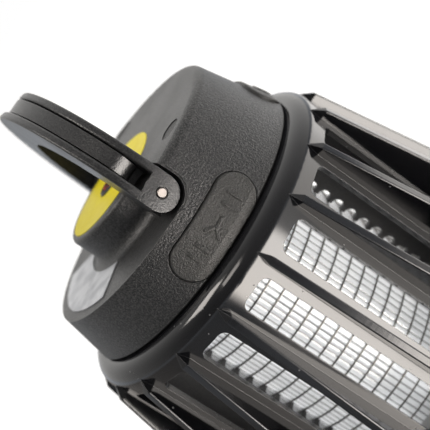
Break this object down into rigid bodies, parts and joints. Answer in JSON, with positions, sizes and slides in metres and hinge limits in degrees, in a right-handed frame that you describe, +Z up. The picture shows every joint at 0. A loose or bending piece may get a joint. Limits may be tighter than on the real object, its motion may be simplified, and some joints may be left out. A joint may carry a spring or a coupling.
{
  "type": "electric bug zapper",
  "caption": "Rechargeable lantern-shaped electric bug zapper with a finned cage, inner wire grid, lamp, folding carry handle, port covers and a twist-off collection tray.",
  "frame": {"origin": "centre of the resting plane, on the body axis", "axes": "+Z up along the body axis; +X along the handle pins; the handle folds down towards -Y"},
  "size_m": [0.1332, 0.1332, 0.1831],
  "materials": {
    "cap_plastic": "fine grained moulded texture, matte",
    "handle_plastic": "fine grained moulded texture, matte",
    "flap_rubber": "coarse grained soft rubber",
    "seal_rubber": "smooth rubber",
    "yellow_label": "printed film, satin",
    "silver_label": "metallised film with soft cloudy patches",
    "pin_steel": "turned steel",
    "button_plastic": "satin",
    "spring_steel": "drawn wire",
    "switch_plastic": "satin",
    "board_laminate": "solder mask",
    "screw_steel": "zinc plated",
    "port_steel": "plated",
    "winding_plastic": "taped winding",
    "capacitor_film": "dipped film",
    "lead_insulation": "insulated wire",
    "cage_plastic": "high gloss moulding",
    "grid_wire": "drawn wire, dark",
    "insulator_plastic": "natural moulding",
    "comb_plastic": "satin moulding",
    "sleeve_plastic": "fluted translucent white",
    "core_plastic": "white reflector",
    "led_board_metal": "white coated aluminium",
    "led_lens": "clear resin with violet tint",
    "cell_wrap": "shrink wrap",
    "contact_nickel": "nickel strip",
    "base_plastic": "fine grained moulded texture, matte",
    "tray_plastic": "satin moulding"
  },
  "bodies": {
    "housing": {"base_housing": "base_plastic", "base_screws": "screw_steel", "battery_cells": "cell_wrap", "battery_contacts": "contact_nickel", "board_screws": "screw_steel", "button_spring": "spring_steel", "cage_body": "cage_plastic", "cap_gasket": "seal_rubber", "cap_housing": "cap_plastic", "cap_screws": "screw_steel", "circuit_board": "board_laminate", "crescent_label": "silver_label", "grid_live": "grid_wire", "grid_return": "grid_wire", "handle_pins": "pin_steel", "hub_label": "yellow_label", "hv_capacitor": "capacitor_film", "hv_leads": "lead_insulation", "hv_transformer": "winding_plastic", "input_port": "port_steel", "lamp_core": "core_plastic", "lamp_sleeve": "sleeve_plastic", "led_boards": "led_board_metal", "lower_collar": "insulator_plastic", "output_port": "port_steel", "power_switch": "switch_plastic", "screw_plugs": "flap_rubber", "upper_collar": "insulator_plastic", "uv_leds": "led_lens", "wire_combs": "comb_plastic"},
    "handle": {"carry_handle": "handle_plastic"},
    "button": {"power_button": "button_plastic"},
    "input_cover": {"input_flap": "flap_rubber"},
    "output_cover": {"output_flap": "flap_rubber"},
    "tray": {"collection_tray": "tray_plastic", "rubber_feet": "seal_rubber"}
  },
  "joints": [
    {"name": "handle_fold", "type": "hinge", "parent": "housing", "child": "handle", "pos_m": [0, 0, 0.1418], "axis": [1, 0, 0], "range_deg": [0, 91.5]},
    {"name": "button_press", "type": "slide", "parent": "housing", "child": "button", "axis": [0, 0, -1], "range_m": [0, 0.001], "stiffness_N_per_m": 400, "deforming": ["button_spring"]},
    {"name": "input_cover_pull", "type": "slide", "parent": "housing", "child": "input_cover", "axis": [1, 0, 0], "range_m": [0, 0.005]},
    {"name": "output_cover_pull", "type": "slide", "parent": "housing", "child": "output_cover", "axis": [0.0349, 0.9994, 0], "range_m": [0, 0.005]},
    {"name": "tray_twist", "type": "hinge", "parent": "housing", "child": "tray", "pos_m": [0, 0, 0.004], "axis": [0, 0, 1], "range_deg": [0, 45]}
  ]
}
